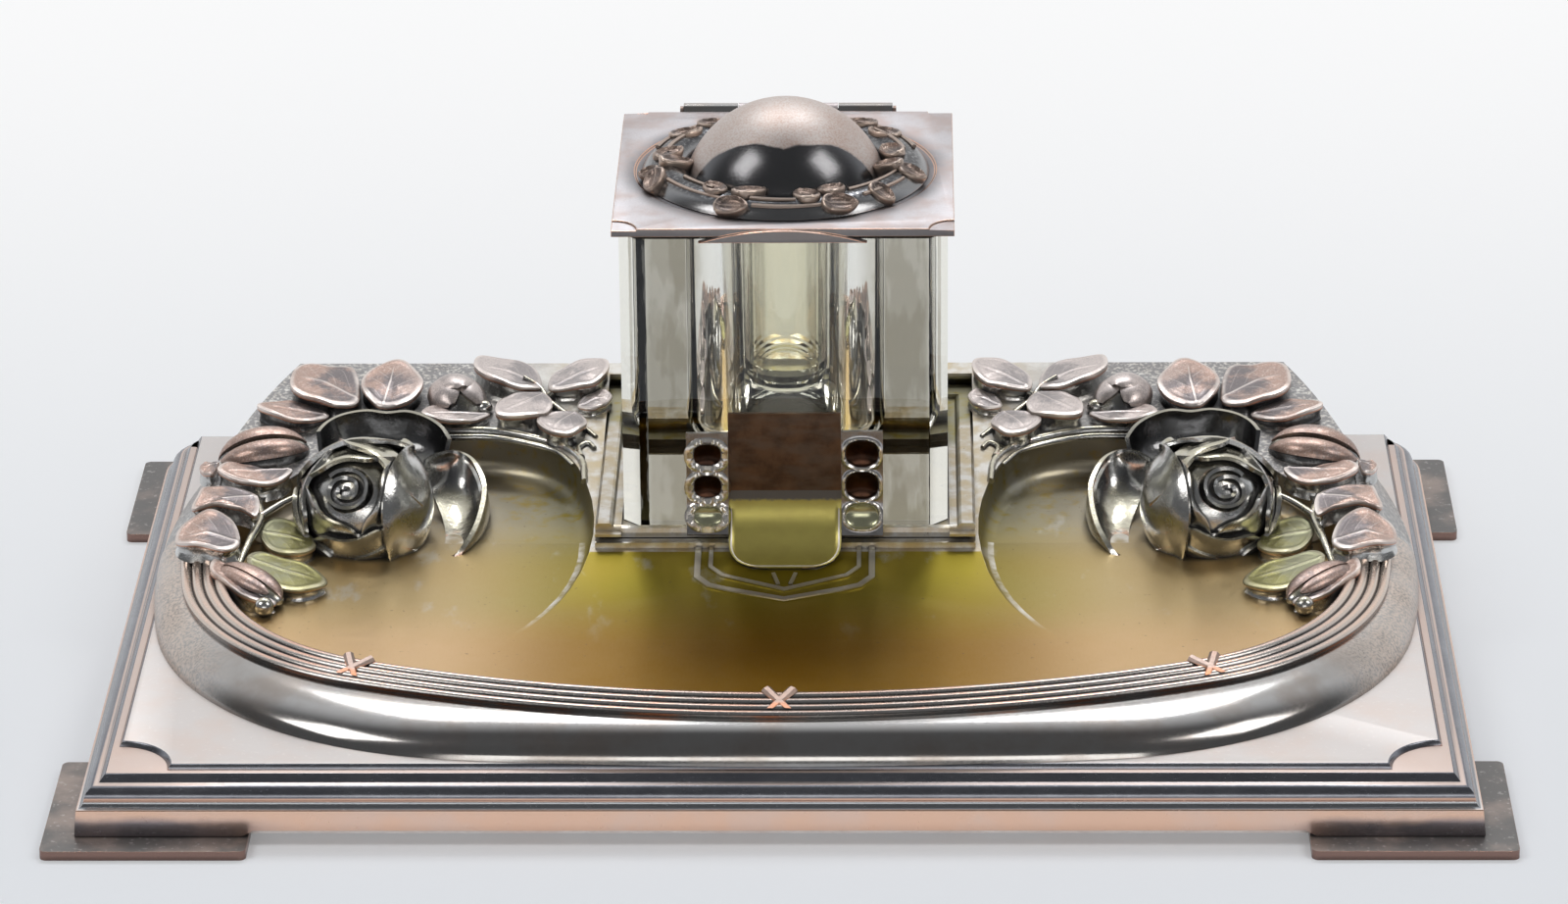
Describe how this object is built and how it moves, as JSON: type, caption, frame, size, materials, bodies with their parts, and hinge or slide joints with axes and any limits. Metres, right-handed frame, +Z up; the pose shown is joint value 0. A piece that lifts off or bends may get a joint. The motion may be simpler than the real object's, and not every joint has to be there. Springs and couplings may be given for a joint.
{
  "type": "desk inkstand",
  "caption": "Silver-plated desk inkstand: stepped base on four square feet, oval pen tray with a rose border, and a square glass inkwell with a hinged domed lid.",
  "frame": {"origin": "middle of the rectangle over the four feet, on the surface it rests on", "axes": "+X along the long side, to the right as seen by the writer; +Y towards the rose border at the back; +Z up"},
  "size_m": [0.3, 0.2026, 0.1121],
  "materials": {
    "worn_silver": "worn silver plate with copper showing on the edges, satin",
    "dark_silver": "silver plate darkened in its recesses, polished on the high parts",
    "copper_edge": "silver plate worn through to copper, polished",
    "gilt": "worn gilt wash, satin",
    "dull_metal": "plain dull plate on the hidden side",
    "clear_glass": "clear pressed glass, very slightly yellow"
  },
  "bodies": {
    "stand": {"foot_front_left": "worn_silver", "foot_front_right": "worn_silver", "foot_rear_left": "worn_silver", "foot_rear_right": "worn_silver", "base_plinth": "worn_silver", "base_plate": "dull_metal", "pen_tray": "gilt", "tray_rim": "dark_silver", "rose_border": "gilt", "ribbon_ties": "copper_edge", "rose_left": "dark_silver", "rose_right": "dark_silver", "foliage_left": "dark_silver", "foliage_right": "dark_silver", "inkwell_seat": "gilt", "front_strap": "copper_edge"},
    "inkwell": {"glass_block": "clear_glass", "glass_cup": "clear_glass", "glass_collar": "dark_silver", "hinge_pin": "copper_edge"},
    "lid": {"lid_cover": "worn_silver", "lid_wreath": "dark_silver", "lid_lining": "dull_metal"}
  },
  "joints": [
    {"name": "inkwell_lift", "type": "slide", "parent": "stand", "child": "inkwell", "axis": [0, 0, 1], "range_m": [0, 0.06]},
    {"name": "lid_hinge", "type": "hinge", "parent": "inkwell", "child": "lid", "pos_m": [0, 0.07855, 0.09575], "axis": [-1, 0, 0], "range_deg": [0, 105]}
  ]
}
